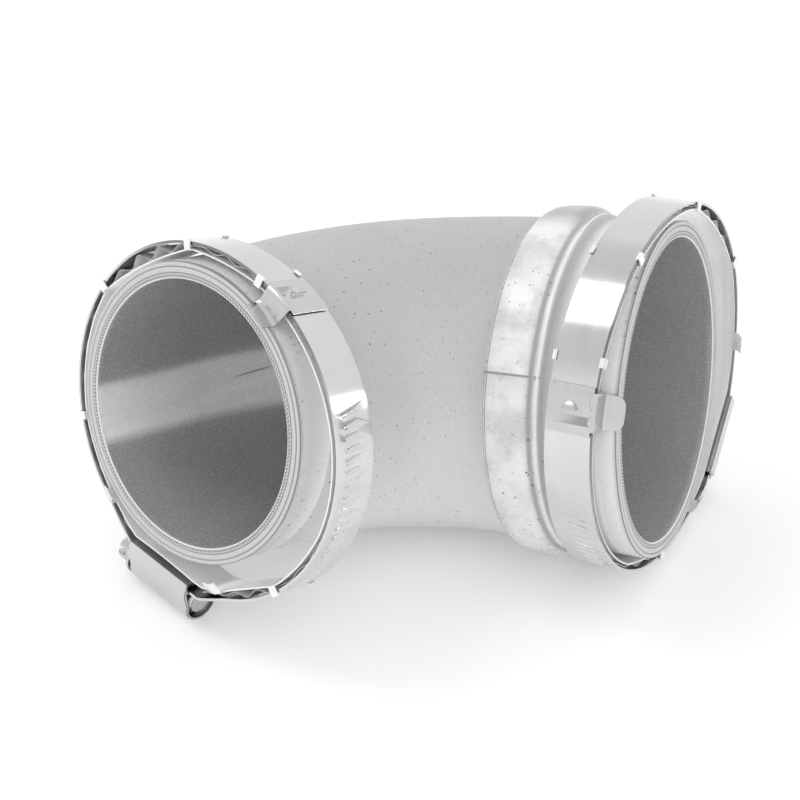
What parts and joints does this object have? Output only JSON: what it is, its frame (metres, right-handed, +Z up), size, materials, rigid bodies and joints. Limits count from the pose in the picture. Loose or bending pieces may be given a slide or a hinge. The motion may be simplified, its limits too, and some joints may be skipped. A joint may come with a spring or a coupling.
{
  "type": "charge air hose elbow",
  "caption": "Moulded reinforced rubber elbow that widens from a 70 mm to an 83 mm bore, with a raised collar and a worm drive clamp hanging on each end",
  "frame": {"origin": "on the floor, under the middle of the bounding box, with the hose lying as it rests by itself", "axes": "+Z up, away from the floor; +X towards the large end, whose bore rises by about 10 degrees; the small end points to -Y and rises by about 13.5 degrees"},
  "size_m": [0.159, 0.1544, 0.1037],
  "materials": {
    "hose_rubber": "grey rubber, satin, with a fine fabric texture in the bore and on the cut ends",
    "band_steel": "bright rolled stainless strip, fine scratches along the band",
    "spring_steel": "bright rolled spring strip, folded in flat waves",
    "liner_steel": "thin bright stainless strip with rounded edges",
    "housing_steel": "pressed stainless sheet, satin",
    "screw_steel": "plated screw, satin, slightly darker than the band",
    "clip_steel": "pressed stainless sheet, satin, darker than the band"
  },
  "bodies": {
    "hose": {"hose_elbow": "hose_rubber", "small_clamp_band": "band_steel", "small_clamp_wave_spring": "spring_steel", "small_clamp_liner": "liner_steel", "small_clamp_housing": "housing_steel", "small_clamp_clip": "clip_steel", "large_clamp_band": "band_steel", "large_clamp_wave_spring": "spring_steel", "large_clamp_liner": "liner_steel", "large_clamp_housing": "housing_steel", "large_clamp_clip": "clip_steel"},
    "small_screw": {"small_clamp_screw": "screw_steel"},
    "large_screw": {"large_clamp_screw": "screw_steel"}
  },
  "joints": [
    {"name": "small_clamp_screw_turn", "type": "hinge", "parent": "hose", "child": "small_screw", "pos_m": [-0.03892, -0.06251, 0.00587], "axis": [-0.9395, 0.3363, 0.0656], "continuous": true},
    {"name": "large_clamp_screw_turn", "type": "hinge", "parent": "hose", "child": "large_screw", "pos_m": [0.07197, 0.06015, 0.01283], "axis": [-0.0238, 0.711, 0.7028], "continuous": true}
  ]
}
